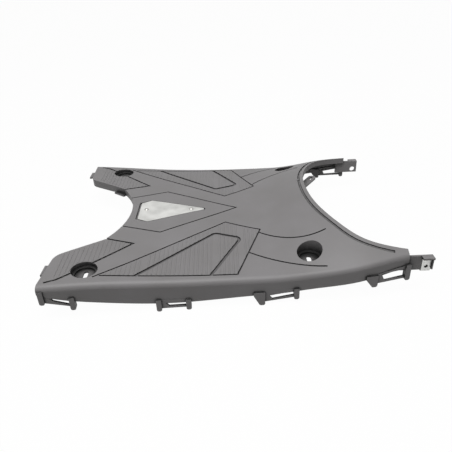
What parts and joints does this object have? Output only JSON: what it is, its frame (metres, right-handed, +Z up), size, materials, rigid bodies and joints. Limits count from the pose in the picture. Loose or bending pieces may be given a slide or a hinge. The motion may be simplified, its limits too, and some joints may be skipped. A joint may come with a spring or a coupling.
{
  "type": "scooter floorboard",
  "caption": "Moulded scooter floor panel with a grooved, ridged tread, sunk screw pockets, a front notch, a forked rear, clip loops under its skirt and a riveted bright plate.",
  "frame": {"origin": "under the middle of the part's bounding box, on the plane it rests on", "axes": "+X runs back along the floor to the forked end, +Y across it, +Z up out of the tread"},
  "size_m": [0.5192, 0.3902, 0.081],
  "materials": {
    "grey_plastic": "fine moulded grain",
    "bright_plate": "satin",
    "rivet_metal": "polished heads",
    "spring_steel": "zinc plated"
  },
  "bodies": {
    "root": {"floor_panel": "grey_plastic", "centre_plate": "bright_plate", "plate_rivets": "rivet_metal", "speed_nut": "spring_steel"}
  },
  "joints": []
}
